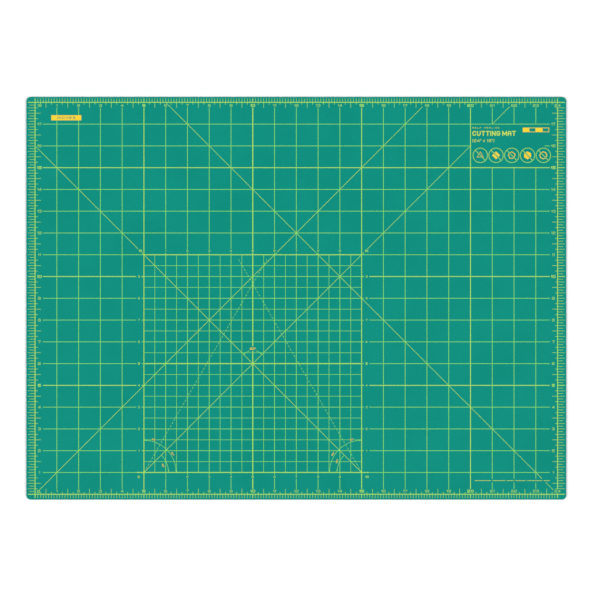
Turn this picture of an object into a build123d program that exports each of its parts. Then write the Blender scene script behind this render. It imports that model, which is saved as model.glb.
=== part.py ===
from build123d import *
import math
import os
from collections import defaultdict, namedtuple

# A double-sided self-healing cutting mat: three bonded plies, with an inch grid printed on the
# face and a centimetre grid printed on the back. Every print is a thin ink film standing on its
# ply. Millimetres. X runs along the long side, Y along the short side and Z up. The origin is
# under the middle of the mat, on the surface that the mat lies on.

# ---------------------------------------------------------------- sheet
mat_length = 630.0
mat_width = 470.0
corner_radius = 5.0
face_ply = 0.5
core_ply = 0.5
back_ply = 0.5
ink_film = 0.05

# ---------------------------------------------------------------- inch grid on the face
inch = 25.4
least_margin = 6.0  # narrowest unprinted border that the grid may leave
edge_clear = 1.9  # from the tip of a scale mark to the edge of the mat
border_rule = 0.9
five_inch_rule = 0.9
inch_rule = 0.6
half_inch_rule = 0.45
centre_rule = 1.1
block_rule = 1.0
diagonal_rule = 0.5
diagonal_end_clear = 5.2  # kept clear of a diagonal at a numeral that it runs up to
speck = 0.05  # the smallest patch that the screen prints, in square millimetres
dash_rule = 0.45
arc_rule = 0.45

# scale marks
mark_rule = 0.45
marks_per_inch = 8
odd_eighth_step = 1.8  # how much shorter an odd eighth is on the side scales
half_mark_inside = 6.2
quarter_mark_inside = 2.7
left_mark_step = 0.6  # how much further the marks run inside the left border

# numerals along the scales
end_numeral_inset = 3.6  # border to numeral centre, along the top and bottom
side_numeral_inset = 5.0  # border to numeral centre, along the left and right
border_numeral_half, border_window = 4.2, 4.6  # space in the right border for its numerals
zero_inset, zero_rise = 4.0, 3.1  # border to the centre of the 0 in the corner
end_line_inset = 6.1  # border to where the grid's upright lines start
side_line_inset = 9.1  # border to where the grid's level lines start

# the ten-inch block
block_col, block_row, block_inches = 5, 1, 10
beside_block, below_block, above_block = 5.8, 5.1, 4.6  # block rule to numeral centre
corner_zero_shift, corner_ten_shift, top_ten_shift = 0.3, 0.5, -1.7
numeral_window = (6.2, 4.3)  # space kept clear of lines round a block numeral
block_rule_overrun = 8.6

# 60 degree construction lines and angle arcs
dash, dash_gap = 2.5, 1.8
outer_arc_radius = 37.6
inner_arc_radius = 28.7
square_arc_radius = 15.2
square_arc_start, square_arc_end = 46.0, 76.0
arrow_length, arrow_width, arrow_clear = 2.2, 1.5, 0.2
label_clear = 0.3  # kept clear of lines round an angle label or a scale numeral
square_label_rise = 17.4
# Each label's distance from the block's corner, and its swing up from the block's foot.
label_places = {60: (39.8, 33.0), 30: (40.0, 73.0), 45: (23.7, 20.0)}
right_45_place = (31.6, 24.5)
square_label_window = (6.4, 5.4)

# title panel and unit tag
panel_rows_above = 1  # inch rows between the panel and the top border
panel_indent = 2.3
panel_head = 1.8  # from the caption to the panel's upper line
panel_stub = 5.9  # end of the level line that the panel interrupts
caption_rise, title_rise, size_rise = 46.5, 40.0, 31.5
tag_length, tag_height = 35.0, 6.0
tag_rise = 18.0  # top border down to the tag's centre
tag_indent = 36.4  # left border in to the tag's centre
template_radius, template_gap, template_rule = 8.75, 0.9, 0.65
template_indent, template_rise = 2.65, 14.4
template_sides = (3, 4, 5, 6, 8)
solid_sides = (4, 6)
figure_radius, figure_rule, figure_clear = 4.6, 0.9, 0.5
scale_bar_length, scale_bar_height, scale_bar_rule, scale_bar_blocks = 30.8, 5.2, 0.6, 4
scale_bar_indent, scale_bar_rise, scale_bar_clear = 76.4, 44.1, 1.0
note_words = (19.0, 15.0, 8.4, 12.0, 18.0, 7.1)
note_gap, note_height = 1.6, 0.55
note_indent, note_rise, note_window = 5.0, 15.9, 4.3

# ---------------------------------------------------------------- centimetre grid on the back
centimetre = 10.0
back_panel = 5  # centimetres between the heavy rules
back_rule = 0.45
back_heavy_rule = 0.8
back_border_rule = 0.9
back_mark_rule, back_mark_reach, back_half_reach = 0.45, 4.0, 2.6
fine_panels = 4  # the finer ruled block is this many panels across and up
fine_panel_col, fine_panel_row = 1, 1
back_tag_length = 58.0

# ---------------------------------------------------------------- lettering
Style = namedtuple("Style", "height width stroke gap")
plain_numeral = Style(3.0, 3.1, 0.42, 0.55)
bold_numeral = Style(3.3, 3.5, 0.72, 0.5)
block_plain = Style(2.4, 2.1, 0.36, 0.4)
block_bold = Style(2.7, 2.3, 0.56, 0.4)
label_style = Style(2.0, 1.5, 0.3, 0.3)
square_style = Style(2.6, 2.3, 0.4, 0.4)
tag_style = Style(2.9, 2.9, 0.55, 1.25)
title_style = Style(5.6, 4.4, 1.15, 0.8)
caption_style = Style(1.5, 1.7, 0.28, 1.15)
size_style = Style(3.4, 3.0, 0.5, 0.75)

# Strokes run through a unit square. A run of three or more points has rounded shoulders.
bowl = [(0, 0), (1, 0), (1, 0.56), (0, 0.56), (0, 0)]
STROKES = {
    "0": [[(0, 0), (1, 0), (1, 1), (0, 1), (0, 0)]],
    "1": [[(1, 0), (1, 1)], [(1, 1), (0.1, 0.66)]],
    "2": [[(0, 0.8), (0, 1), (1, 1), (1, 0.5), (0, 0.5), (0, 0.05)], [(0, 0), (1, 0)]],
    "3": [[(0, 0.82), (0, 1), (1, 1), (1, 0), (0, 0), (0, 0.18)], [(0.4, 0.52), (0.9, 0.52)]],
    "4": [[(0.8, 0), (0.8, 1)], [(0.8, 1), (0, 0.28)], [(0, 0.28), (1, 0.28)]],
    "5": [[(0, 1), (1, 1)], [(0, 1), (0, 0.58)], [(0, 0.58), (1, 0.58), (1, 0), (0, 0), (0, 0.16)]],
    "6": [bowl, [(0, 0.4), (0, 1), (1, 1), (1, 0.86)]],
    "7": [[(0, 1), (1, 1)], [(1, 1), (0.36, 0)]],
    "8": [bowl, [(0.05, 0.56), (0.95, 0.56), (0.95, 1), (0.05, 1), (0.05, 0.56)]],
    "9": [[(1 - x, 1 - y) for x, y in bowl], [(1, 0.6), (1, 0), (0, 0), (0, 0.14)]],
    "A": [[(0, 0), (0, 1), (1, 1), (1, 0)], [(0, 0.42), (1, 0.42)]],
    "C": [[(1, 0.8), (1, 1), (0, 1), (0, 0), (1, 0), (1, 0.2)]],
    "E": [[(1, 1), (0, 1)], [(0, 1), (0, 0)], [(0, 0), (1, 0)], [(0, 0.52), (0.86, 0.52)]],
    "F": [[(1, 1), (0, 1)], [(0, 1), (0, 0)], [(0, 0.5), (0.8, 0.5)]],
    "G": [[(1, 0.82), (1, 1), (0, 1), (0, 0), (1, 0), (1, 0.46)], [(1, 0.46), (0.6, 0.46)]],
    "H": [[(0, 0), (0, 1)], [(1, 0), (1, 1)], [(0, 0.5), (1, 0.5)]],
    "I": [[(0, 0), (0, 1)]],
    "L": [[(0, 1), (0, 0)], [(0, 0), (1, 0)]],
    "M": [[(0, 0), (0, 1)], [(1, 0), (1, 1)], [(0, 1), (0.5, 0.25)], [(0.5, 0.25), (1, 1)]],
    "N": [[(0, 0), (0, 1)], [(1, 0), (1, 1)], [(0, 1), (1, 0)]],
    "R": [[(0, 0), (0, 1)], [(0, 1), (1, 1), (1, 0.46), (0, 0.46)], [(0.5, 0.46), (1, 0)]],
    "S": [[(1, 0.82), (1, 1), (0, 1), (0, 0.52), (1, 0.52), (1, 0), (0, 0), (0, 0.18)]],
    "T": [[(0, 1), (1, 1)], [(0.5, 0.9), (0.5, 0)]],
    "U": [[(0, 1), (0, 0), (1, 0), (1, 1)]],
    "x": [[(0, 0.1), (1, 0.75)], [(0, 0.75), (1, 0.1)]],
    '"': [[(0, 1), (0, 0.74)], [(1, 1), (1, 0.74)]],
    "(": [[(1, 1.12), (0, 1.12), (0, -0.12), (1, -0.12)]],
    ")": [[(0, 1.12), (1, 1.12), (1, -0.12), (0, -0.12)]],
}
# Width of a character as a share of its style's width, where it isn't the whole width.
NARROW = {"1": 0.45, "I": 0.0, "M": 1.25, "x": 0.7, '"': 0.35, "(": 0.3, ")": 0.3}
DEGREE = "\N{DEGREE SIGN}"  # a small ring, drawn from its radius

os.makedirs("parts", exist_ok=True)

# ---------------------------------------------------------------- levels and grid places
back_bottom = ink_film
core_bottom = back_bottom + back_ply
face_bottom = core_bottom + core_ply
face_top = face_bottom + face_ply

inches_across = int((mat_length - 2 * least_margin) // inch)
inches_up = int((mat_width - 2 * least_margin) // inch)
left, bottom = -inches_across * inch / 2, -inches_up * inch / 2
right, top = -left, -bottom
side_reach = mat_length / 2 - right - edge_clear
end_reach = mat_width / 2 - top - edge_clear


def col(n):
    """X of the grid's n-th upright line, counted from the left border."""
    return left + n * inch


def row(n):
    """Y of the grid's n-th level line, counted from the bottom border."""
    return bottom + n * inch


block_left, block_right = col(block_col), col(block_col + block_inches)
block_bottom, block_top = row(block_row), row(block_row + block_inches)
block_mid_col, block_mid_row = block_col + block_inches // 2, block_row + block_inches // 2
# The title panel is as many whole inches as what it holds.
template_pitch = 2 * template_radius + template_gap
template_length = 2 * template_radius + template_pitch * (len(template_sides) - 1)
panel_inches_across = math.ceil((template_length + 2 * template_indent) / inch)
panel_inches_up = math.ceil((caption_rise + panel_head) / inch)
panel_left = col(inches_across - panel_inches_across)
panel_top_row = inches_up - panel_rows_above
panel_bottom_row = panel_top_row - panel_inches_up
panel_bottom, panel_top = row(panel_bottom_row), row(panel_top_row)

printed_face = Plane.XY.offset(face_top)
# The back reads the right way round when the mat is turned over about its short axis.
printed_back = Plane(origin=(0, 0, ink_film), x_dir=(-1, 0, 0), z_dir=(0, 0, -1))


# ---------------------------------------------------------------- drawing
def upright(x, y0, y1):
    """A level-to-level line at x, as its two ends."""
    return (x, y0, x, y1)


def level(y, x0, x1):
    """A side-to-side line at y, as its two ends."""
    return (x0, y, x1, y)


def rules(lines, width, mode=Mode.ADD):
    """Draws upright and level lines of one width in the sketch being made."""
    by_size = defaultdict(list)
    for x0, y0, x1, y1 in lines:
        size = (round(abs(x1 - x0), 4) or width, round(abs(y1 - y0), 4) or width)
        by_size[size].append(((x0 + x1) / 2, (y0 + y1) / 2))
    for (across, up), centres in by_size.items():
        with Locations(*centres):
            Rectangle(across, up, mode=mode)


def slanted(x0, y0, x1, y1, width, mode=Mode.ADD):
    """Draws one straight line at any angle in the sketch being made."""
    turn = math.degrees(math.atan2(y1 - y0, x1 - x0))
    with Locations(Location(((x0 + x1) / 2, (y0 + y1) / 2), turn)):
        Rectangle(math.dist((x0, y0), (x1, y1)), width, mode=mode)


def clear(windows):
    """Cuts windows of (centre x, centre y, width, height) out of the sketch being made."""
    by_size = defaultdict(list)
    for x, y, across, up in windows:
        by_size[(across, up)].append((x, y))
    for (across, up), centres in by_size.items():
        with Locations(*centres):
            Rectangle(across, up, mode=Mode.SUBTRACT)


glyphs = {}


def glyph(character, style):
    """One character in a style, centred on its own origin, with square-ended strokes."""
    key = (character, style)
    if key not in glyphs:
        across = style.width * NARROW.get(character, 1) - style.stroke
        across = max(across, 0)
        up = style.height - style.stroke
        with BuildSketch(Plane.XY, mode=Mode.PRIVATE) as drawn:
            if character == DEGREE:
                with Locations((0, style.height / 2 - degree_radius(style))):
                    Circle(degree_radius(style))
                    Circle(degree_radius(style) - style.stroke, mode=Mode.SUBTRACT)
            for points in STROKES.get(character, []):
                ends = [((x - 0.5) * across, (y - 0.5) * up) for x, y in points]
                if ends[0] != ends[-1]:
                    ends[0] = lengthened(ends[1], ends[0], style.stroke / 2)
                    ends[-1] = lengthened(ends[-2], ends[-1], style.stroke / 2)
                with BuildLine():
                    if len(ends) > 2:
                        FilletPolyline(*ends, radius=shoulder(ends, style.stroke))
                    else:
                        Line(*ends)
                trace(line_width=style.stroke)
        glyphs[key] = drawn.sketch
    return glyphs[key]


def degree_radius(style):
    """The outer radius of a degree sign."""
    return style.stroke / 2 + max(style.stroke, 0.19 * style.height)


def shoulder(ends, stroke):
    """The radius of a stroke's bends: as round as its runs allow, up to 1.3 strokes."""
    runs = [math.dist(a, b) for a, b in zip(ends, ends[1:])]
    closed = ends[0] == ends[-1]
    inner = runs if closed else runs[1:-1]
    outer = [] if closed else [runs[0], runs[-1]]
    return min([1.3 * stroke] + [0.48 * r for r in inner] + [0.95 * r for r in outer])


def printable(drawn):
    """The patches of a finished sketch, without specks that the screen can't print."""
    return drawn.sketch.faces().filter_by(lambda patch: patch.area > speck)


def lengthened(start, end, extra):
    """The end of a stroke carried on past itself by extra."""
    run = math.dist(start, end)
    return tuple(e + (e - s) / run * extra for s, e in zip(start, end))


def width_of(character, style):
    """How wide a character is printed."""
    if character == DEGREE:
        return 2 * degree_radius(style)
    return style.gap if character == " " else max(style.width * NARROW.get(character, 1), style.stroke)


def length_of(text, style):
    """How long a run of text is printed."""
    return sum(width_of(c, style) for c in text) + style.gap * (len(text) - 1)


def write(entries, style, mode=Mode.ADD):
    """Prints (text, x, y, turn) entries, each centred on its point, in the sketch being made."""
    places = defaultdict(list)
    for text, x, y, turn in entries:
        at = -length_of(text, style) / 2
        cos, sin = math.cos(math.radians(turn)), math.sin(math.radians(turn))
        for character in text:
            span = width_of(character, style)
            along = at + span / 2
            at += span + style.gap
            if character != " ":
                places[character].append(Location((x + along * cos, y + along * sin), turn))
    for character, spots in places.items():
        with Locations(*spots):
            add(glyph(character, style), mode=mode)


def keep(part, name):
    """Names a finished piece and writes it."""
    part.label = name
    export_step(part, f"parts/{name}.step", write_pcurves=False)


# ---------------------------------------------------------------- plies
for name, low, thickness in (
    ("back_sheet", back_bottom, back_ply),
    ("core_sheet", core_bottom, core_ply),
    ("face_sheet", face_bottom, face_ply),
):
    with BuildPart() as sheet:
        with BuildSketch(Plane.XY.offset(low)):
            RectangleRounded(mat_length, mat_width, corner_radius)
        extrude(amount=thickness)
    keep(sheet.part, name)

# ---------------------------------------------------------------- line lists for the face
heavy_cols = [n for n in range(1, inches_across) if n % 5 == 0 and n != block_mid_col]
light_cols = [n for n in range(1, inches_across) if n % 5]
line_bottom, line_top = bottom + end_line_inset, top - end_line_inset
line_left, line_right = left + side_line_inset, right - side_line_inset
block_rows = range(block_row + 1, block_row + block_inches)

heavy_uprights = [upright(col(n), line_bottom, line_top) for n in heavy_cols]
light_uprights = [upright(col(n), line_bottom, line_top) for n in light_cols]
heavy_levels, light_levels = [], []
for n in range(1, inches_up):
    listed = light_levels if n % 5 else heavy_levels
    if n in (block_row, block_row + block_inches):
        overrun = block_rule_overrun if n == block_row else five_inch_rule / 2
        listed.append(level(row(n), line_left, block_left - overrun))
        listed.append(level(row(n), block_right + overrun, line_right))
    elif n == block_mid_row or (n in block_rows and n % 5 == 0):
        listed.append(level(row(n), line_left, block_left))
        listed.append(level(row(n), block_right, line_right))
        if n != block_mid_row:
            light_levels.append(level(row(n), block_left, block_right))
    elif panel_bottom_row < n < panel_top_row:
        listed.append(level(row(n), line_left, panel_left))
        listed.append(level(row(n), line_right - panel_stub, line_right))
    else:
        listed.append(level(row(n), line_left, line_right))

block_rules = [
    level(block_bottom, block_left - block_rule_overrun, block_right + block_rule_overrun),
    level(block_top, block_left - five_inch_rule / 2, block_right + five_inch_rule / 2),
]
centre_rules = [
    upright(col(block_mid_col), line_bottom, line_top),
    level(row(block_mid_row), block_left, block_right),
]
half_steps = [n + 0.5 for n in range(block_inches)]
half_lines = [upright(block_left + n * inch, block_bottom, block_top) for n in half_steps]
half_lines += [level(block_bottom + n * inch, block_left, block_right) for n in half_steps]


def carried(x, y, way):
    """The 45 degree line from x, y up to the border, going right if way is 1 and left if -1."""
    run = min(top - y, right - x if way > 0 else x - left)
    return (x, y, x + way * run, y + run)


diagonals = [
    carried(left, bottom, 1),
    carried(block_left, block_bottom, 1),
    carried(right, bottom, -1),
    carried(block_right, block_bottom, -1),
]

# ---------------------------------------------------------------- space kept clear of lines
numerals_at = []  # text, x, y of the block's numerals
for n in range(1, block_inches):
    for x in (block_left - beside_block, block_right + beside_block):
        numerals_at.append((str(n), x, block_bottom + n * inch))
    for y in (block_bottom - below_block, block_top + above_block):
        numerals_at.append((str(n), block_left + n * inch, y))
ten = str(block_inches)
corner_numerals = [
    ("0", block_left - beside_block - corner_zero_shift, block_bottom - below_block),
    (ten, block_right + beside_block + corner_ten_shift, block_bottom - below_block),
    (ten, block_left - beside_block - top_ten_shift, block_top + above_block),
    (ten, block_right + beside_block, block_top + above_block),
]
block_windows = [(x, y, *numeral_window) for _, x, y in numerals_at]
block_windows += [(x, y, *numeral_window) for _, x, y in corner_numerals]

window_left, window_bottom = panel_left + five_inch_rule / 2, panel_bottom + five_inch_rule / 2
title_window = (
    (window_left + line_right) / 2,
    (window_bottom + panel_top) / 2,
    line_right - window_left,
    panel_top - window_bottom,
)
bar_x, bar_y = panel_left + scale_bar_indent, panel_bottom + scale_bar_rise
bar_window = (
    bar_x,
    bar_y,
    scale_bar_length + 2 * scale_bar_clear,
    scale_bar_height + 2 * scale_bar_clear,
)
note_left, note_y = panel_left + note_indent, bottom + note_rise
note_length = sum(note_words) + note_gap * (len(note_words) - 1)
note_windows = [(note_left + note_length / 2, note_y, note_length + 2 * note_gap, note_window)]
square_label_y = row(block_mid_row) + square_label_rise
square_window = (col(block_mid_col), square_label_y, *square_label_window)
tag_x, tag_y = left + tag_indent, top - tag_rise
tag_window = (tag_x, tag_y, tag_length, tag_height)
window_start = right - border_numeral_half
border_windows = [
    ((window_start + right + side_reach) / 2, y, border_numeral_half + side_reach, border_window)
    for y in (bottom + end_numeral_inset, top - end_numeral_inset)
]
diagonal_end_windows = [
    (x, y, 2 * diagonal_end_clear, 2 * diagonal_end_clear)
    for x, y in ((left, bottom), diagonals[0][2:], diagonals[1][2:], (right, bottom))
]

# Angle labels: text, x, y and turn. Left ones read clockwise, right ones mirror them.
labels = []
for angle, place in label_places.items():
    right_place = right_45_place if angle == 45 else place
    for corner, way, (radius, swing) in ((block_left, 1, place), (block_right, -1, right_place)):
        away, up = radius * math.cos(math.radians(swing)), radius * math.sin(math.radians(swing))
        labels.append((f"{angle}{DEGREE}", corner + way * away, block_bottom + up, way * (swing - 90)))


def label_windows():
    """Cuts the space under each angle label out of the sketch being made."""
    for text, x, y, turn in labels:
        across, up = length_of(text, label_style) + 2 * label_clear, label_style.height + 2 * label_clear
        with Locations(Location((x, y), turn)):
            Rectangle(across, up, mode=Mode.SUBTRACT)


plain_entries, bold_entries = [], []
for n in range(1, inches_across + 1):
    for y in (bottom + end_numeral_inset, top - end_numeral_inset):
        (plain_entries if n % 5 else bold_entries).append((str(n), col(n), y, 0))
for n in range(1, inches_up):
    for x in (left + side_numeral_inset, right - side_numeral_inset):
        (plain_entries if n % 5 else bold_entries).append((str(n), x, row(n), 0))
plain_entries.append((str(inches_up), left + side_numeral_inset, top - end_numeral_inset, 0))
bold_entries.append(("0", left + zero_inset, bottom + zero_rise, 0))
numeral_windows = [
    (x, y, length_of(text, style) + 2 * label_clear, style.height + 2 * label_clear)
    for entries, style in ((plain_entries, plain_numeral), (bold_entries, bold_numeral))
    for text, x, y, _ in entries
]


# ---------------------------------------------------------------- border and scales of the face
def reach_inside(n):
    """How far the n-th eighth-inch mark runs inside the border."""
    return {2: quarter_mark_inside, 4: half_mark_inside, 6: quarter_mark_inside}.get(n % 8, 0)


eighth = inch / marks_per_inch
end_marks, side_marks = [], []
for n in range(1, inches_across * marks_per_inch):
    for border, way in ((bottom, -1), (top, 1)):
        inner, outer = border - way * reach_inside(n), border + way * end_reach
        end_marks.append(upright(left + n * eighth, inner, outer))
for n in range(1, inches_up * marks_per_inch):
    for border, way in ((left, -1), (right, 1)):
        outer = border + way * (side_reach - (odd_eighth_step if n % 2 else 0))
        inner = border - way * reach_inside(n)
        if way < 0 and reach_inside(n):
            inner += left_mark_step
        side_marks.append(level(bottom + n * eighth, inner, outer))
bold_end_marks = [
    upright(col(n), b, b + w * end_reach)
    for n in range(5, inches_across, 5)
    for b, w in ((bottom, -1), (top, 1))
]
bold_side_marks = [
    level(row(n), b, b + w * side_reach)
    for n in range(5, inches_up, 5)
    for b, w in ((left, -1), (right, 1))
]
end_borders = [level(y, left - side_reach, right + side_reach) for y in (bottom, top)]
side_borders = [upright(x, bottom - end_reach, top + end_reach) for x in (left, right)]

for name, borders, scale_marks, bold_marks in (
    ("long_side_scales", end_borders, end_marks, bold_end_marks),
    ("short_side_scales", side_borders, side_marks, bold_side_marks),
):
    with BuildPart() as scale:
        with BuildSketch(printed_face):
            rules(scale_marks, mark_rule)
            clear(numeral_windows)
            rules(borders, border_rule)
            rules(bold_marks, five_inch_rule)
            if name == "short_side_scales":
                rules(end_borders, border_rule, Mode.SUBTRACT)
                clear(border_windows)
        extrude(amount=ink_film)
    keep(scale.part, name)

with BuildPart() as scale_numerals:
    with BuildSketch(printed_face):
        write(plain_entries, plain_numeral)
        write(bold_entries, bold_numeral)
    extrude(amount=ink_film)
keep(scale_numerals.part, "scale_numerals")

# ---------------------------------------------------------------- grid lines of the face
with BuildPart() as inch_lines:
    with BuildSketch(printed_face):
        rules(light_uprights, inch_rule)
        clear([title_window])
        rules(light_levels, inch_rule)
        rules(heavy_uprights + heavy_levels, five_inch_rule, Mode.SUBTRACT)
        rules(block_rules, block_rule, Mode.SUBTRACT)
        rules(centre_rules, centre_rule, Mode.SUBTRACT)
        clear(block_windows + note_windows + [tag_window, square_window, bar_window])
        label_windows()
    extrude(amount=ink_film)
keep(inch_lines.part, "inch_lines")

with BuildPart() as five_inch_lines:
    with BuildSketch(printed_face):
        rules(heavy_uprights, five_inch_rule)
        clear([title_window])
        rules(heavy_levels, five_inch_rule)
        rules(centre_rules, centre_rule, Mode.SUBTRACT)
        rules(block_rules, block_rule, Mode.SUBTRACT)
        clear(block_windows + note_windows + [tag_window, bar_window])
    extrude(amount=ink_film)
keep(five_inch_lines.part, "five_inch_lines")

with BuildPart() as centre_lines:
    with BuildSketch(printed_face):
        rules(centre_rules, centre_rule)
        rules(heavy_uprights, five_inch_rule, Mode.SUBTRACT)
        rules(block_rules, block_rule, Mode.SUBTRACT)
        clear(block_windows + [square_window])
    extrude(amount=ink_film)
keep(centre_lines.part, "block_centre_lines")

with BuildPart() as block_frame:
    with BuildSketch(printed_face):
        rules(block_rules, block_rule)
    extrude(amount=ink_film)
keep(block_frame.part, "block_rules")

with BuildPart() as half_inch_lines:
    with BuildSketch(printed_face):
        rules(half_lines, half_inch_rule)
        rules(light_uprights + light_levels, inch_rule, Mode.SUBTRACT)
        rules(heavy_uprights, five_inch_rule, Mode.SUBTRACT)
        rules(block_rules, block_rule, Mode.SUBTRACT)
        rules(centre_rules, centre_rule, Mode.SUBTRACT)
        label_windows()
    extrude(amount=ink_film)
keep(half_inch_lines.part, "half_inch_lines")

with BuildPart() as block_numerals:
    plain = [(t, x, y, 0) for t, x, y in numerals_at if int(t) % 5]
    bold = [(t, x, y, 0) for t, x, y in numerals_at + corner_numerals if int(t) % 5 == 0]
    with BuildSketch(printed_face):
        write(plain, block_plain)
        write(bold, block_bold)
    extrude(amount=ink_film)
keep(block_numerals.part, "block_numerals")


# ---------------------------------------------------------------- angle lines of the face
def cut_grid():
    """Cuts every grid line of the face out of the sketch being made."""
    rules(light_uprights + light_levels, inch_rule, Mode.SUBTRACT)
    rules(half_lines, half_inch_rule, Mode.SUBTRACT)
    rules(heavy_uprights + heavy_levels, five_inch_rule, Mode.SUBTRACT)
    rules(block_rules, block_rule, Mode.SUBTRACT)
    rules(centre_rules, centre_rule, Mode.SUBTRACT)


def dashes(turn):
    """(x, y) centres of the dashes from the block's corner, drawn towards turn degrees."""
    run = (block_inches * inch - block_rule) / math.sin(math.radians(60))
    count = int(run // (dash + dash_gap))
    start = (block_left, block_bottom) if turn < 90 else (block_right, block_bottom)
    cos, sin = math.cos(math.radians(turn)), math.sin(math.radians(turn))
    along = [(n + 0.5) * (dash + dash_gap) for n in range(count)]
    return [(start[0] + a * cos, start[1] + a * sin) for a in along]


with BuildPart() as diagonal_lines:
    with BuildSketch(printed_face, mode=Mode.PRIVATE) as drawn:
        for ends in diagonals:
            slanted(*ends, diagonal_rule)
        rules(end_borders + side_borders, border_rule, Mode.SUBTRACT)
        cut_grid()
        clear(block_windows + note_windows + diagonal_end_windows + numeral_windows)
        clear([title_window, tag_window])
    extrude(printable(drawn), amount=ink_film)
keep(diagonal_lines.part, "diagonal_lines")

with BuildPart() as sixty_degree_lines:
    with BuildSketch(printed_face, mode=Mode.PRIVATE) as drawn:
        for turn in (60, 120):
            with Locations(*[Location(at, turn) for at in dashes(turn)]):
                Rectangle(dash, dash_rule)
        cut_grid()
        for ends in diagonals:
            slanted(*ends, diagonal_rule, Mode.SUBTRACT)
        label_windows()
    extrude(printable(drawn), amount=ink_film)
keep(sixty_degree_lines.part, "sixty_degree_lines")


def arc(centre, radius, start, swing):
    """Draws an arc of the angle scales in the sketch being made."""
    with BuildLine() as path:
        CenterArc(centre, radius, start, swing)
    trace(path.line, line_width=arc_rule)


def arrow(x, y, heading):
    """Draws an arrowhead with its tip at x, y in the sketch being made."""
    half = arrow_width / 2
    with Locations(Location((x, y), heading)):
        Polygon((0, 0), (-arrow_length, half), (-arrow_length, -half), align=None)


with BuildPart() as angle_arcs:
    with BuildSketch(printed_face, mode=Mode.PRIVATE) as drawn:
        for corner, way in ((block_left, 1), (block_right, -1)):
            base = 0 if way > 0 else 180
            arc((corner, block_bottom), outer_arc_radius, base, way * 90)
            arc((corner, block_bottom), inner_arc_radius, base, way * 45)
            foot = block_bottom + block_rule / 2 + arrow_clear
            arrow(corner + way * outer_arc_radius, foot, -90)
            arrow(corner + way * inner_arc_radius, foot, -90)
            side = corner + way * (five_inch_rule / 2 + arrow_clear)
            arrow(side, block_bottom + outer_arc_radius, 180 - base)
        middle = (col(block_mid_col), row(block_mid_row))
        swing = square_arc_end - square_arc_start
        arc(middle, square_arc_radius, square_arc_start, swing)
        arc(middle, square_arc_radius, 180 - square_arc_end, swing)
        for turn in (square_arc_start, 180 - square_arc_start):
            away = square_arc_radius * math.cos(math.radians(turn))
            up = square_arc_radius * math.sin(math.radians(turn))
            arrow(middle[0] + away, middle[1] + up, turn - 90 if turn < 90 else turn + 90)
        cut_grid()
        for ends in diagonals:
            slanted(*ends, diagonal_rule, Mode.SUBTRACT)
        for turn in (60, 120):
            with Locations(*[Location(at, turn) for at in dashes(turn)]):
                Rectangle(dash, dash_rule, mode=Mode.SUBTRACT)
        label_windows()
    extrude(printable(drawn), amount=ink_film)
keep(angle_arcs.part, "angle_arcs")

with BuildPart() as angle_labels:
    with BuildSketch(printed_face):
        write(labels, label_style)
        write([(f"90{DEGREE}", col(block_mid_col), square_label_y, 0)], square_style)
    extrude(amount=ink_film)
keep(angle_labels.part, "angle_labels")

# ---------------------------------------------------------------- panels of the face
with BuildPart() as inch_tag:
    with BuildSketch(printed_face):
        with Locations((tag_x, tag_y)):
            Rectangle(tag_length, tag_height)
        write([("INCHES", tag_x, tag_y, 0)], tag_style, Mode.SUBTRACT)
    extrude(amount=ink_film)
keep(inch_tag.part, "inch_tag")


def panel_line(text, style, rise):
    """Prints a line of the title panel, against the panel's left side, in the sketch being made."""
    centre = panel_left + panel_indent + length_of(text, style) / 2
    write([(text, centre, panel_bottom + rise, 0)], style)


with BuildPart() as title_caption:
    with BuildSketch(printed_face):
        panel_line("SELF HEALING", caption_style, caption_rise)
    extrude(amount=ink_film)
keep(title_caption.part, "title_caption")

with BuildPart() as title_words:
    with BuildSketch(printed_face):
        panel_line("CUTTING MAT", title_style, title_rise)
    extrude(amount=ink_film)
keep(title_words.part, "title_words")

with BuildPart() as size_line:
    with BuildSketch(printed_face):
        panel_line(f'({inches_across}" x {inches_up}")', size_style, size_rise)
    extrude(amount=ink_film)
keep(size_line.part, "size_line")

with BuildPart() as scale_bar:
    block = scale_bar_length / scale_bar_blocks
    with BuildSketch(printed_face):
        with Locations((bar_x, bar_y)):
            Rectangle(scale_bar_length, scale_bar_height)
            with GridLocations(2 * block, 0, scale_bar_blocks // 2, 1):
                with Locations((block / 2 - scale_bar_rule / 2, 0)):
                    open_height = scale_bar_height - 2 * scale_bar_rule
                    Rectangle(block - scale_bar_rule, open_height, mode=Mode.SUBTRACT)
    extrude(amount=ink_film)
keep(scale_bar.part, "scale_bar")

template_inset = template_indent + template_radius
template_centres = [
    (panel_left + template_inset + n * template_pitch, panel_bottom + template_rise)
    for n in range(len(template_sides))
]
with BuildPart() as template_rings:
    with BuildSketch(printed_face):
        with Locations(*template_centres):
            Circle(template_radius)
            Circle(template_radius - template_rule, mode=Mode.SUBTRACT)
            Rectangle(2 * template_radius - template_rule, template_rule, rotation=-45)
    extrude(amount=ink_film)
keep(template_rings.part, "template_rings")

with BuildPart() as template_figures:
    with BuildSketch(printed_face):
        for centre, sides in zip(template_centres, template_sides):
            with Locations(centre):
                RegularPolygon(figure_radius, sides, rotation=90)
                if sides not in solid_sides:
                    inner_radius = figure_radius - figure_rule
                    RegularPolygon(inner_radius, sides, rotation=90, mode=Mode.SUBTRACT)
        with Locations(*template_centres):
            band = template_rule + 2 * figure_clear
            Rectangle(2 * template_radius, band, rotation=-45, mode=Mode.SUBTRACT)
    extrude(amount=ink_film)
keep(template_figures.part, "template_figures")

with BuildPart() as note_line:
    with BuildSketch(printed_face):
        at = note_left
        for word in note_words:
            with Locations((at + word / 2, note_y)):
                Rectangle(word, note_height)
            at += word + note_gap
    extrude(amount=ink_film)
keep(note_line.part, "note_line")

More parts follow.
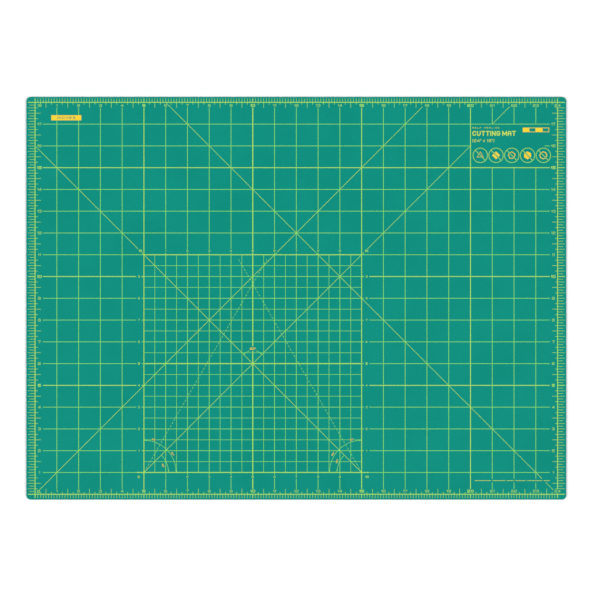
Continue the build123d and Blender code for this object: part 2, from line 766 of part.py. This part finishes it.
# ---------------------------------------------------------------- back print
panel = back_panel * centimetre
panels_across = int((mat_length - 2 * least_margin) // panel)
panels_up = int((mat_width - 2 * least_margin) // panel)
back_left, back_low = -panels_across * panel / 2, -panels_up * panel / 2
back_right, back_high = -back_left, -back_low


def back_col(n):
    """X of the n-th centimetre of the back's grid, seen from the back."""
    return back_left + n * centimetre


def back_row(n):
    """Y of the n-th centimetre of the back's grid."""
    return back_low + n * centimetre


back_uprights = [
    upright(back_col(n * back_panel), back_low + end_line_inset, back_high - end_line_inset)
    for n in range(1, panels_across)
]
back_levels = [
    level(back_row(n * back_panel), back_left + side_line_inset, back_right - side_line_inset)
    for n in range(1, panels_up)
]
back_end_borders = [
    level(y, back_left - back_mark_reach, back_right + back_mark_reach)
    for y in (back_low, back_high)
]
back_side_borders = [
    upright(x, back_low - back_mark_reach, back_high + back_mark_reach)
    for x in (back_left, back_right)
]
back_end_marks, back_side_marks = [], []
for n in range(1, 2 * back_panel * panels_across):
    reach = back_half_reach if n % 2 else back_mark_reach
    for border, way in ((back_low, -1), (back_high, 1)):
        back_end_marks.append(upright(back_col(n / 2), border, border + way * reach))
for n in range(1, 2 * back_panel * panels_up):
    reach = back_half_reach if n % 2 else back_mark_reach
    for border, way in ((back_left, -1), (back_right, 1)):
        back_side_marks.append(level(back_row(n / 2), border, border + way * reach))

for name, borders, scale_marks in (
    ("back_long_side_scales", back_end_borders, back_end_marks),
    ("back_short_side_scales", back_side_borders, back_side_marks),
):
    with BuildPart() as scale:
        with BuildSketch(printed_back):
            rules(borders, back_border_rule)
            rules(scale_marks, back_mark_rule)
            if name == "back_short_side_scales":
                rules(back_end_borders, back_border_rule, Mode.SUBTRACT)
        extrude(amount=ink_film)
    keep(scale.part, name)

back_tag_x, back_tag_y = back_left + back_tag_length / 2 + end_line_inset * 2, back_high - tag_rise
with BuildPart() as five_centimetre_lines:
    with BuildSketch(printed_back):
        rules(back_uprights + back_levels, back_heavy_rule)
        clear([(back_tag_x, back_tag_y, back_tag_length, tag_height)])
    extrude(amount=ink_film)
keep(five_centimetre_lines.part, "five_centimetre_lines")

fine_left, fine_low = back_col(fine_panel_col * back_panel), back_row(fine_panel_row * back_panel)
fine_side = fine_panels * panel
fine_steps = [n * centimetre for n in range(1, fine_panels * back_panel) if n % back_panel]
fine_lines = [upright(fine_left + n, fine_low, fine_low + fine_side) for n in fine_steps]
fine_lines += [level(fine_low + n, fine_left, fine_left + fine_side) for n in fine_steps]
with BuildPart() as centimetre_lines:
    with BuildSketch(printed_back):
        rules(fine_lines, back_rule)
        rules(back_uprights + back_levels, back_heavy_rule, Mode.SUBTRACT)
    extrude(amount=ink_film)
keep(centimetre_lines.part, "centimetre_lines")

run = back_high - back_low
with BuildPart() as back_diagonal_lines:
    with BuildSketch(printed_back):
        slanted(back_left, back_low, back_left + run, back_high, diagonal_rule)
        slanted(back_right - run, back_high, back_right, back_low, diagonal_rule)
        rules(back_end_borders + back_side_borders, back_border_rule, Mode.SUBTRACT)
        rules(fine_lines, back_rule, Mode.SUBTRACT)
        rules(back_uprights + back_levels, back_heavy_rule, Mode.SUBTRACT)
        clear(
            [
                (x, y, 2 * diagonal_end_clear, 2 * diagonal_end_clear)
                for x, y in (
                    (back_left, back_low),
                    (back_left + run, back_high),
                    (back_right - run, back_high),
                    (back_right, back_low),
                )
            ]
        )
    extrude(amount=ink_film)
keep(back_diagonal_lines.part, "back_diagonal_lines")

with BuildPart() as back_numerals:
    entries = []
    for n in range(back_panel, back_panel * panels_across, back_panel):
        for y in (back_low + end_numeral_inset, back_high - end_numeral_inset):
            entries.append((str(n), back_col(n), y, 0))
    for n in range(back_panel, back_panel * panels_up, back_panel):
        for x in (back_left + side_numeral_inset, back_right - side_numeral_inset):
            entries.append((str(n), x, back_row(n), 0))
    entries.append(("0", back_left + zero_inset, back_low + zero_rise, 0))
    with BuildSketch(printed_back):
        write(entries, plain_numeral)
    extrude(amount=ink_film)
keep(back_numerals.part, "back_numerals")

with BuildPart() as centimetre_tag:
    with BuildSketch(printed_back):
        with Locations((back_tag_x, back_tag_y)):
            Rectangle(back_tag_length, tag_height)
        write([("CENTIMETERS", back_tag_x, back_tag_y, 0)], tag_style, Mode.SUBTRACT)
    extrude(amount=ink_film)
keep(centimetre_tag.part, "centimetre_tag")
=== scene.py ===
"""The looks of a double-sided self-healing cutting mat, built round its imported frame.

The mat is three bonded vinyl plies with an ink print on each side. The plies are made here as
closed sheets with the soft, layered edge that die cutting leaves. The prints keep their frame
shapes and get screen ink of four weights.
"""

import logging
import math
from collections.abc import Callable, Iterable, Mapping
from dataclasses import dataclass, field
from enum import Enum
from typing import Any, ClassVar

import bpy
import numpy as np
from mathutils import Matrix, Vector


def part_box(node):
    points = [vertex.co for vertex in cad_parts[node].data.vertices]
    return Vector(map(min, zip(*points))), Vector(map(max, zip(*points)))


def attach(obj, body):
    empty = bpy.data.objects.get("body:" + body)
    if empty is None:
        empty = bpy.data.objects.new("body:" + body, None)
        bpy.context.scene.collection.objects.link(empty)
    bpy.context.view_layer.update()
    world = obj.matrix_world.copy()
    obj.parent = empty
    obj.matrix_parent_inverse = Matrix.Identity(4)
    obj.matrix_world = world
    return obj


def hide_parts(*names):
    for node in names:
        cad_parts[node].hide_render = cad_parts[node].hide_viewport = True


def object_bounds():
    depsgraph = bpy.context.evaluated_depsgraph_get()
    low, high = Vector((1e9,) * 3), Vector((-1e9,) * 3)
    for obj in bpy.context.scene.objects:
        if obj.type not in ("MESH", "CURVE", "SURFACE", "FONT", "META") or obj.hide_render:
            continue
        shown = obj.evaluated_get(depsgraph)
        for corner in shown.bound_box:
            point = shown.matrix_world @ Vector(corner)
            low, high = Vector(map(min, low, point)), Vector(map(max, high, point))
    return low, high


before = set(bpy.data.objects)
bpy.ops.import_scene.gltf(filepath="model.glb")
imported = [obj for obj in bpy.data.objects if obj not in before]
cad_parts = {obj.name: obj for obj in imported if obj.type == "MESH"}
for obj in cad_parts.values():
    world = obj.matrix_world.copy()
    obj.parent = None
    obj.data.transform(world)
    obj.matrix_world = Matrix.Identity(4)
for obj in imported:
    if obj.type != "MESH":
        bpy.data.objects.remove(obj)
cad_low, cad_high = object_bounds()

SHARP_DEGREES = 50.0  # an edge that turns further than this is creased
BODY = "root"
MM = 0.001

log = logging.getLogger("cutting_mat")

Colour = tuple[float, float, float]


# ---------------------------------------------------------------- shader maths
class Sock:
    """One output socket of a shader node, on which Python arithmetic adds Math nodes."""

    def __init__(self, graph: "Graph", socket: bpy.types.NodeSocket) -> None:
        """Wraps a socket.

        Args:
            graph: The graph that the socket belongs to.
            socket: The output socket.
        """
        self.graph = graph
        self.socket = socket

    def _maths(self, operation: str, first: Any, second: Any = 0.0) -> "Sock":
        """Adds one Math node.

        Args:
            operation: The Math node's operation.
            first: The first operand, a number or a socket.
            second: The second operand.

        Returns:
            The node's value.
        """
        inputs = {0: first, 1: second}
        return self.graph.node("ShaderNodeMath", {"operation": operation}, inputs)

    def __add__(self, other: Any) -> "Sock":
        """self + other."""
        return self._maths("ADD", self, other)

    __radd__ = __add__

    def __mul__(self, other: Any) -> "Sock":
        """self * other."""
        return self._maths("MULTIPLY", self, other)

    __rmul__ = __mul__

    def __sub__(self, other: Any) -> "Sock":
        """self - other."""
        return self._maths("SUBTRACT", self, other)

    def __rsub__(self, other: Any) -> "Sock":
        """other - self."""
        return self._maths("SUBTRACT", other, self)

    def __truediv__(self, other: Any) -> "Sock":
        """self / other."""
        return self._maths("DIVIDE", self, other)

    def __abs__(self) -> "Sock":
        """The distance from nought."""
        return self._maths("ABSOLUTE", self)

    def floor(self) -> "Sock":
        """The whole number at or below the value."""
        return self._maths("FLOOR", self)


class Graph:
    """A material's node tree, written as Python expressions."""

    def __init__(self, tree: bpy.types.NodeTree) -> None:
        """Empties the tree and keeps it.

        Args:
            tree: The node tree to fill.
        """
        self.tree = tree
        tree.nodes.clear()

    def node(
        self,
        kind: str,
        settings: Mapping[str, Any] | None = None,
        inputs: Mapping[int | str, Any] | None = None,
        output: int | str = 0,
    ) -> Sock:
        """Adds a node of any kind.

        Args:
            kind: The node's type name.
            settings: Properties that are set before the sockets are filled.
            inputs: Sockets by name or place, each with a number, a colour or another socket.
            output: The name or place of the output that is returned.

        Returns:
            The chosen output.
        """
        made = self.tree.nodes.new(kind)
        for name, value in (settings or {}).items():
            setattr(made, name, value)
        for key, value in (inputs or {}).items():
            if isinstance(value, Sock):
                self.tree.links.new(value.socket, made.inputs[key])
            elif isinstance(value, tuple) and made.inputs[key].type == "RGBA":
                made.inputs[key].default_value = (*value, 1.0)
            else:
                made.inputs[key].default_value = value
        return Sock(self, made.outputs[output]) if len(made.outputs) else None

    def mix(self, share: Any, first: Any, second: Any) -> Sock:
        """Blends two colours.

        Args:
            share: How much of the second colour there is, from 0 to 1.
            first: The colour at 0.
            second: The colour at 1.

        Returns:
            The blended colour.
        """
        factor, colour_a, colour_b, result = 0, 6, 7, 2
        settings = {"data_type": "RGBA", "clamp_factor": True}
        inputs = {factor: share, colour_a: first, colour_b: second}
        return self.node("ShaderNodeMix", settings, inputs, result)

    def place(self) -> Sock:
        """The point's place in the mat's own frame, in metres."""
        return self.node("ShaderNodeTexCoord", output="Object")

    def stretched(self, vector: Sock, scale: Colour, turn: float = 0.0) -> Sock:
        """Scales and turns a place, so that a pattern on it is stretched.

        Args:
            vector: The place.
            scale: The scale along each axis.
            turn: The turn about the upright axis, in degrees.

        Returns:
            The new place.
        """
        inputs = {"Vector": vector, "Scale": scale, "Rotation": (0.0, 0.0, math.radians(turn))}
        return self.node("ShaderNodeMapping", {}, inputs)

    def noise(self, vector: Sock, pitch: float, detail: float = 2.0, rough: float = 0.5) -> Sock:
        """Smooth noise from 0 to 1.

        Args:
            vector: The place that it is read at.
            pitch: The size of its lumps, in the vector's units.
            detail: How many finer layers it has.
            rough: How strong the finer layers are.

        Returns:
            The noise.
        """
        inputs = {"Vector": vector, "Scale": 1 / pitch, "Detail": detail, "Roughness": rough}
        return self.node("ShaderNodeTexNoise", {"noise_dimensions": "3D"}, inputs)

    def ramp(self, value: Sock, start: float, end: float, low: float, high: float) -> Sock:
        """Carries a value smoothly from low, where it is start, to high, where it is end."""
        settings = {"interpolation_type": "SMOOTHSTEP"}
        inputs = {"Value": value, "From Min": start, "From Max": end, "To Min": low, "To Max": high}
        return self.node("ShaderNodeMapRange", settings, inputs)

    def bump(self, height: Sock, depth: float) -> Sock:
        """A normal from a height of 0 to 1 and the depth in metres that it stands for."""
        return self.node("ShaderNodeBump", {}, {"Height": height, "Distance": depth}, "Normal")


def dressed(name: str, paint: Callable[[Graph], Sock]) -> bpy.types.Material:
    """Makes a material from a function that draws its graph.

    Args:
        name: The material's name.
        paint: Draws the graph and returns its shader.

    Returns:
        The material.
    """
    material = bpy.data.materials.new(name)
    material.use_nodes = True
    graph = Graph(material.node_tree)
    shader = paint(graph)
    graph.node("ShaderNodeOutputMaterial", {}, {"Surface": shader})
    return material


# ---------------------------------------------------------------- finishes
@dataclass(frozen=True)
class EmbossedVinyl:
    """Soft green vinyl with a fine matt emboss and the faint tracks of healed cuts, with painted
    highlight on the emboss's crests and painted shade in its hollows.
    """

    name: str
    colour: Colour = (0.0006, 0.246, 0.185)
    pale: Colour = (0.0016, 0.270, 0.206)
    # The next two colours are a painted highlight for the raised grain and painted shade for the
    # hollows between pebbles.
    painted_crest_highlight: Colour = (0.004, 0.315, 0.240)
    painted_valley_shade: Colour = (0.0004, 0.200, 0.150)
    pebble_pitch: float = 0.55 * MM
    grain_pitch: float = 0.30 * MM
    grain_depth: float = 0.075 * MM
    cloud_pitch: float = 70 * MM
    roughness: float = 0.56
    specular: float = 0.08
    track_spacing: float = 38 * MM
    track_width: float = 0.16 * MM

    def tracks(self, graph: Graph, turn: float) -> Sock:
        """Healed cuts in one direction: straight hairlines at uneven spacings, each broken.

        The place across the cuts is split into bands. Each band holds one line, at a share of
        the band that a random number gives, and slow noise along the line rubs most of it out.

        Args:
            graph: The graph to draw in.
            turn: The direction, in degrees.

        Returns:
            1 on a track and 0 off it.
        """
        turned = graph.stretched(graph.place(), (1.0, 1.0, 1.0), turn)
        across = graph.node("ShaderNodeSeparateXYZ", {}, {0: turned}, "X") / self.track_spacing
        band = across.floor()
        settings = {"noise_dimensions": "1D"}
        chance = graph.node("ShaderNodeTexWhiteNoise", settings, {"W": band + turn}, "Value")
        off_line = abs(across - band - chance) * self.track_spacing
        line = graph.ramp(off_line, 0.0, self.track_width, 1.0, 0.0)
        rubbed = graph.noise(graph.stretched(turned, (1.0, 0.35, 1.0)), 22 * MM, 1.0)
        return line * graph.ramp(rubbed, 0.52, 0.64, 0.0, 1.0)

    def paint(self, graph: Graph) -> Sock:
        """Draws the vinyl's graph and returns its shader."""
        place = graph.place()
        cloud = graph.noise(place, self.cloud_pitch, 3.0)
        settings = {"feature": "SMOOTH_F1"}
        inputs = {"Vector": place, "Scale": 1 / self.pebble_pitch, "Smoothness": 0.6}
        pebbles = graph.node("ShaderNodeTexVoronoi", settings, inputs, "Distance")
        grain = graph.noise(place, self.grain_pitch, 3.0, 0.6)
        worn = self.tracks(graph, 0.0) + self.tracks(graph, 90.0) + self.tracks(graph, 27.0)
        body = graph.mix(graph.ramp(cloud, 0.3, 0.7, 0.0, 1.0), self.colour, self.pale)
        # Painted highlight: the grain's high points, which the bump raises, are made lighter.
        body = graph.mix(graph.ramp(grain, 0.45, 0.70, 0.0, 0.55), body, self.painted_crest_highlight)
        # Painted shade: the low borders between pebbles, which the bump sinks, are made darker.
        body = graph.mix(graph.ramp(pebbles, 0.25, 0.60, 0.0, 0.35), body, self.painted_valley_shade)
        body = graph.mix(worn * 0.35, body, tuple(0.02 + 1.05 * c for c in self.pale))
        height = grain * 0.6 - pebbles * 0.5 - worn * 0.4
        rough = self.roughness + (grain - 0.5) * 0.16 + (cloud - 0.5) * 0.08 + worn * 0.06
        inputs = {
            "Base Color": body,
            "Roughness": rough,
            "Specular IOR Level": self.specular,
            "Normal": graph.bump(height, self.grain_depth),
        }
        return graph.node("ShaderNodeBsdfPrincipled", {}, inputs)


@dataclass(frozen=True)
class DieCutEdge:
    """The cut wall of a ply: a little paler than its skin, with fine upright drag lines."""

    name: str
    colour: Colour
    pale: Colour
    streak_pitch: float = 0.25 * MM
    streak_length: float = 12.0
    depth: float = 0.03 * MM
    roughness: float = 0.48

    def paint(self, graph: Graph) -> Sock:
        """Draws the edge's graph and returns its shader."""
        along = graph.stretched(graph.place(), (1.0, 1.0, 1.0 / self.streak_length))
        streaks = graph.noise(along, self.streak_pitch, 3.0, 0.65)
        patches = graph.noise(graph.place(), 9 * MM, 2.0)
        share = streaks * 0.6 + patches * 0.4
        inputs = {
            "Base Color": graph.mix(graph.ramp(share, 0.3, 0.7, 0.0, 1.0), self.colour, self.pale),
            "Roughness": self.roughness + (streaks - 0.5) * 0.25,
            "Specular IOR Level": 0.3,
            "Normal": graph.bump(streaks, self.depth),
        }
        return graph.node("ShaderNodeBsdfPrincipled", {}, inputs)


class Weight(Enum):
    """How heavily a mark is printed: how thin its film is, and where the ink misses the vinyl."""

    SOLID = ("solid", 0.00, 0.32)
    LETTER = ("letter", 0.55, 0.33)
    LINE = ("line", 0.78, 0.34)
    HAIRLINE = ("hairline", 0.96, 0.35)

    def __init__(self, title: str, thin: float, pinholes: float) -> None:
        """Keeps the weight's values.

        Args:
            title: The word that its material is named with.
            thin: How far the film's colour leans from thick ink's to thin ink's.
            pinholes: The height of grain under which the ink misses the vinyl.
        """
        self.title = title
        self.thin = thin
        self.pinholes = pinholes


@dataclass(frozen=True)
class ScreenInk:
    """Yellow screen ink: a satin film on the crests of the vinyl's emboss.

    A thick film is golden. A thin one is lime, because the green of the vinyl comes through it.
    """

    name: str
    weight: Weight
    thick: Colour = (0.93, 0.61, 0.026)
    lime: Colour = (0.24, 0.74, 0.13)
    bare: Colour = (0.06, 0.38, 0.20)
    grain_pitch: float = 0.42 * MM
    grain_depth: float = 0.012 * MM
    roughness: float = 0.46

    def paint(self, graph: Graph) -> Sock:
        """Draws the ink's graph and returns its shader."""
        place = graph.place()
        grain = graph.noise(place, self.grain_pitch, 2.0, 0.6)
        squeegee = graph.noise(graph.stretched(place, (1.0, 0.12, 1.0)), 14 * MM, 2.0)
        rubbed = graph.noise(place, 55 * MM, 4.0)
        thinness = self.weight.thin + graph.ramp(squeegee, 0.3, 0.7, 0.0, 0.10)
        missed = graph.ramp(grain, self.weight.pinholes - 0.08, self.weight.pinholes, 1.0, 0.0)
        scuffed = graph.ramp(rubbed, 0.58, 0.74, 0.0, 0.08)
        film = graph.mix(thinness, self.thick, self.lime)
        film = graph.mix(missed * 0.4 + scuffed, film, self.bare)
        inputs = {
            "Base Color": film,
            "Roughness": self.roughness + (grain - 0.5) * 0.2 + scuffed,
            "Specular IOR Level": 0.35,
            "Normal": graph.bump(grain, self.grain_depth),
        }
        return graph.node("ShaderNodeBsdfPrincipled", {}, inputs)


@dataclass(frozen=True)
class PaleFloor:
    """A matt pale studio floor with a trace of tone in it."""

    name: str = "studio_floor"
    colour: Colour = (0.955, 0.955, 0.955)
    shade: Colour = (0.93, 0.93, 0.935)
    tone_pitch: float = 0.6

    def paint(self, graph: Graph) -> Sock:
        """Draws the floor's graph and returns its shader."""
        tone = graph.noise(graph.place(), self.tone_pitch, 2.0)
        inputs = {
            "Base Color": graph.mix(tone, self.colour, self.shade),
            "Roughness": 0.8 + (tone - 0.5) * 0.1,
            "Specular IOR Level": 0.1,
        }
        return graph.node("ShaderNodeBsdfPrincipled", {}, inputs)


# ---------------------------------------------------------------- plies
class Ply(Enum):
    """The three bonded plies, each with the name of its frame node and slot, and its facing."""

    FACE = ("face_sheet", 1)
    CORE = ("core_sheet", 0)
    BACK = ("back_sheet", -1)

    def __init__(self, node: str, facing: int) -> None:
        """Keeps the ply's values.

        Args:
            node: The name of its frame node, which is also its material slot.
            facing: 1 if its outer skin is on top, -1 if it is below, and 0 if it has none.
        """
        self.node = node
        self.facing = facing


@dataclass
class Plies:
    """The mat's body: face, core and back, cut by one die and bonded."""

    corner_radius: float = 5.0 * MM
    least_radius: float = 0.05 * MM
    corner_steps: int = 14
    side_steps: int = 24
    lip_radius: float = 0.20 * MM
    core_lip_radius: float = 0.02 * MM
    lip_steps: int = 7
    wall_steps: int = 5
    wall_bulge: float = 0.035 * MM
    core_recess: float = 0.05 * MM
    flat_band: float = 0.6 * MM
    skin_inset: float = 6.0 * MM
    bodies: list[bpy.types.Object] = field(default_factory=list)

    UPRIGHT: ClassVar[float] = 0.5
    SKIN: ClassVar[int] = 0
    WALL: ClassVar[int] = 1

    def outline(self, low: Vector, high: Vector, inset: np.ndarray) -> np.ndarray:
        """The mat's outline at each inset, anticlockwise from the right side's lower end.

        A rounded rectangle is four quarter circles joined by straight sides. Moving it inwards
        takes the inset off its half sizes and off its corner radius, down to almost nothing.

        Args:
            low: The lowest corner of the ply's box.
            high: The highest corner of the ply's box.
            inset: How far inside the full outline each ring lies.

        Returns:
            The rings' X and Y, as an array of rings by points by two.
        """
        centre = np.array([(low.x + high.x) / 2, (low.y + high.y) / 2])
        half = np.array([(high.x - low.x) / 2, (high.y - low.y) / 2])
        radius = np.maximum(self.corner_radius - inset, self.least_radius)[:, None]
        middle = half[None, :] - inset[:, None] - radius
        sweep = np.linspace(0.0, math.pi / 2, self.corner_steps)
        runs = []
        for turn, (way_x, way_y) in enumerate(((1, 1), (-1, 1), (-1, -1), (1, -1))):
            angle = sweep + turn * math.pi / 2
            x = way_x * middle[:, :1] + radius * np.cos(angle)
            y = way_y * middle[:, 1:] + radius * np.sin(angle)
            runs.append(np.stack([x, y], axis=2))
        rings = []
        for run, following in zip(runs, runs[1:] + runs[:1]):
            share = np.linspace(0.0, 1.0, self.side_steps)[1:-1, None]
            side = run[:, -1:, :] * (1 - share) + following[:, :1, :] * share
            rings += [run, side]
        return np.concatenate(rings, axis=1) + centre

    def profile(self, ply: Ply, thickness: float) -> np.ndarray:
        """The section of a ply's rim, from its upper face, over the edge, to its lower face.

        A skin ply has a quarter-round lip on its outer face. Its wall stands out by a half sine
        wave, as vinyl does where a die has squeezed it, and the core's wall goes in instead.

        Args:
            ply: Which ply it is.
            thickness: The ply's thickness.

        Returns:
            Inset and height over the ply's underside, as an array of points by two.
        """
        lip = self.lip_radius if ply.facing else self.core_lip_radius
        back_off = self.wall_bulge if ply.facing else self.core_recess
        bulge = self.wall_bulge if ply.facing else -self.wall_bulge
        quarter = np.linspace(0.0, math.pi / 2, self.lip_steps)
        rim_inset = back_off + lip * (1 - np.sin(quarter))
        rim_height = thickness - lip * (1 - np.cos(quarter))
        share = np.linspace(0.0, 1.0, self.wall_steps)[1:]
        wall_inset = back_off - bulge * np.sin(share * math.pi)
        wall_height = (thickness - lip) * (1 - share)
        edge_inset = np.concatenate([rim_inset, wall_inset])
        edge_height = np.concatenate([rim_height, wall_height])
        band = np.array([self.skin_inset, back_off + lip + self.flat_band])
        inset = np.concatenate([band, edge_inset, band[::-1]])
        height = np.concatenate([[thickness] * 2, edge_height, [0.0] * 2])
        if ply is Ply.BACK:
            inset, height = inset[::-1], thickness - height[::-1]
        return np.stack([inset, height], axis=1)

    def build(self) -> None:
        """Makes the three plies as rings of the outline, one for each point of the profile."""
        for ply in Ply:
            low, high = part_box(ply.node)
            section = self.profile(ply, high.z - low.z)
            rings = self.outline(low, high, section[:, 0])
            height = np.broadcast_to(section[:, 1, None, None] + low.z, rings.shape[:2] + (1,))
            body = ringed(f"{ply.node}_body", np.concatenate([rings, height], axis=2))
            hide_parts(ply.node)
            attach(body, BODY)
            self.bodies.append(body)

    def dress(self) -> None:
        """Gives each ply its embossed skin and its die-cut wall."""
        face = EmbossedVinyl("face_vinyl")
        back = EmbossedVinyl("back_vinyl", cloud_pitch=85 * MM, roughness=0.58)
        core = EmbossedVinyl("core_vinyl", colour=(0.03, 0.30, 0.23), pale=(0.05, 0.34, 0.27))
        skin_edge = DieCutEdge("skin_cut_edge", (0.004, 0.25, 0.185), (0.02, 0.33, 0.25))
        core_edge = DieCutEdge("core_cut_edge", (0.04, 0.33, 0.26), (0.11, 0.43, 0.35))
        finishes = {
            Ply.FACE: (face, skin_edge),
            Ply.CORE: (core, core_edge),
            Ply.BACK: (back, skin_edge),
        }
        edges: dict[str, bpy.types.Material] = {}
        for ply, body in zip(Ply, self.bodies):
            skin, edge = finishes[ply]
            body.data.materials.append(dressed(skin.name, skin.paint))
            if edge.name not in edges:
                edges[edge.name] = dressed(edge.name, edge.paint)
            body.data.materials.append(edges[edge.name])
            normals = np.empty(len(body.data.polygons) * 3, np.float32)
            body.data.polygons.foreach_get("normal", normals)
            upright = np.abs(normals.reshape(-1, 3)[:, 2])
            slots = np.where(upright < self.UPRIGHT, self.WALL, self.SKIN).astype(np.int32)
            body.data.polygons.foreach_set("material_index", slots)
            log.info("%s: %d faces", body.name, len(body.data.polygons))


def ringed(name: str, rings: np.ndarray) -> bpy.types.Object:
    """Makes a closed solid from rings of points: a wall round them, and a flat cap at each end.

    Args:
        name: The object's name.
        rings: Places as an array of rings by points by three, from the top ring down, each
            anticlockwise seen from above.

    Returns:
        The object, linked to the scene.
    """
    count, around = rings.shape[:2]
    ring, point = np.meshgrid(np.arange(count - 1), np.arange(around), indexing="ij")
    after = (point + 1) % around
    here, down = ring * around, (ring + 1) * around
    quads = np.stack([here + point, down + point, down + after, here + after], axis=2)
    upper = list(range(around))
    lower = list(range((count - 1) * around, count * around))[::-1]
    mesh = bpy.data.meshes.new(name)
    faces = quads.reshape(-1, 4).tolist() + [upper, lower]
    mesh.from_pydata(rings.reshape(-1, 3).tolist(), [], faces)
    mesh.polygons.foreach_set("use_smooth", np.ones(len(mesh.polygons), bool))
    mesh.set_sharp_from_angle(angle=math.radians(SHARP_DEGREES))
    mesh.update()
    made = bpy.data.objects.new(name, mesh)
    bpy.context.scene.collection.objects.link(made)
    return made


# ---------------------------------------------------------------- prints
@dataclass
class Print:
    """The ink on one side of the mat: its frame nodes, grouped by the weight they print at."""

    side: str
    marks: Mapping[Weight, Iterable[str]]

    def dress(self) -> None:
        """Gives each mark the ink of its weight."""
        for weight, names in self.marks.items():
            ink = ScreenInk(f"{self.side}_ink_{weight.title}", weight)
            material = dressed(ink.name, ink.paint)
            for name in names:
                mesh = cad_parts[name].data
                mesh.materials.clear()
                mesh.materials.append(material)
                log.info("%s: %s ink", name, weight.title)


FACE_MARKS = {
    Weight.SOLID: ("inch_tag", "scale_bar", "template_figures", "angle_labels"),
    Weight.LETTER: ("title_words", "size_line", "title_caption", "note_line"),
    Weight.LINE: (
        "long_side_scales",
        "short_side_scales",
        "five_inch_lines",
        "block_rules",
        "block_centre_lines",
        "template_rings",
        "diagonal_lines",
        "scale_numerals",
        "block_numerals",
    ),
    Weight.HAIRLINE: ("inch_lines", "half_inch_lines", "sixty_degree_lines", "angle_arcs"),
}

BACK_MARKS = {
    Weight.SOLID: ("centimetre_tag",),
    Weight.LETTER: ("back_numerals",),
    Weight.LINE: ("back_long_side_scales", "back_short_side_scales", "five_centimetre_lines"),
    Weight.HAIRLINE: ("centimetre_lines", "back_diagonal_lines"),
}


# ---------------------------------------------------------------- studio
@dataclass
class Studio:
    """A pale floor, two wide soft lights and a camera that looks straight down at the mat."""

    floor_side: float = 24.0
    floor_gap: float = 0.1 * MM
    lens: float = 100.0
    sensor: float = 36.0
    framed: float = 0.700
    aim: tuple[float, float] = (4.3 * MM, -2.0 * MM)
    light_power: float = 1.80
    light_spread: float = 38.0
    light_tilt: float = 46.0
    light_lean: float = 12.0
    light_colour: Colour = (1.0, 0.995, 0.985)
    horizon: Colour = (0.92, 0.94, 0.97)
    zenith: Colour = (0.10, 0.105, 0.11)

    def floor(self) -> None:
        """Lays the floor just under the mat."""
        half = self.floor_side / 2
        height = cad_low.z - self.floor_gap
        corners = [(-half, -half, height), (half, -half, height), (half, half, height)]
        corners.append((-half, half, height))
        mesh = bpy.data.meshes.new("floor")
        mesh.from_pydata(corners, [], [(0, 1, 2, 3)])
        finish = PaleFloor()
        mesh.materials.append(dressed(finish.name, finish.paint))
        floor = bpy.data.objects.new("floor", mesh)
        bpy.context.scene.collection.objects.link(floor)

    def lights(self) -> None:
        """Lights the mat evenly from both sides, each light as wide as a large soft box."""
        for name, way in (("left_light", -1), ("right_light", 1)):
            light = bpy.data.lights.new(name, "SUN")
            light.angle = math.radians(self.light_spread)
            light.energy = self.light_power
            light.color = self.light_colour
            lamp = bpy.data.objects.new(name, light)
            tilt = math.radians(way * self.light_tilt)
            lamp.rotation_euler = (math.radians(self.light_lean), tilt, 0.0)
            bpy.context.scene.collection.objects.link(lamp)

    def surround(self) -> None:
        """Makes the room: bright walls that fall off to a dim ceiling."""
        world = bpy.data.worlds.new("studio")
        world.use_nodes = True
        graph = Graph(world.node_tree)
        way = graph.node("ShaderNodeTexCoord", output="Generated")
        up = graph.node("ShaderNodeSeparateXYZ", {}, {0: way}, "Z")
        colour = graph.mix(graph.ramp(up, 0.15, 0.85, 0.0, 1.0), self.horizon, self.zenith)
        light = graph.node("ShaderNodeBackground", {}, {"Color": colour, "Strength": 1.0})
        graph.node("ShaderNodeOutputWorld", {}, {"Surface": light})
        bpy.context.scene.world = world

    def camera(self) -> None:
        """Puts the camera over the mat, so high that its lens frames the wanted width."""
        data = bpy.data.cameras.new("overhead")
        data.lens = self.lens
        data.sensor_width = self.sensor
        data.clip_end = 50.0
        camera = bpy.data.objects.new("overhead", data)
        centre = (cad_low + cad_high) / 2
        rise = self.framed * self.lens / self.sensor
        camera.location = (centre.x + self.aim[0], centre.y + self.aim[1], cad_high.z + rise)
        bpy.context.scene.collection.objects.link(camera)
        bpy.context.scene.camera = camera

    def build(self) -> None:
        """Sets up the studio, with plain colours that are shown as they are."""
        self.floor()
        self.lights()
        self.surround()
        self.camera()
        bpy.context.scene.view_settings.view_transform = "Standard"


def main() -> None:
    """Builds the mat's plies, dresses its prints and sets up the studio."""
    logging.basicConfig(level=logging.INFO, format="%(name)s: %(message)s")
    plies = Plies()
    plies.build()
    plies.dress()
    Print("face", FACE_MARKS).dress()
    Print("back", BACK_MARKS).dress()
    Studio().build()


if __name__ == "__main__":
    main()
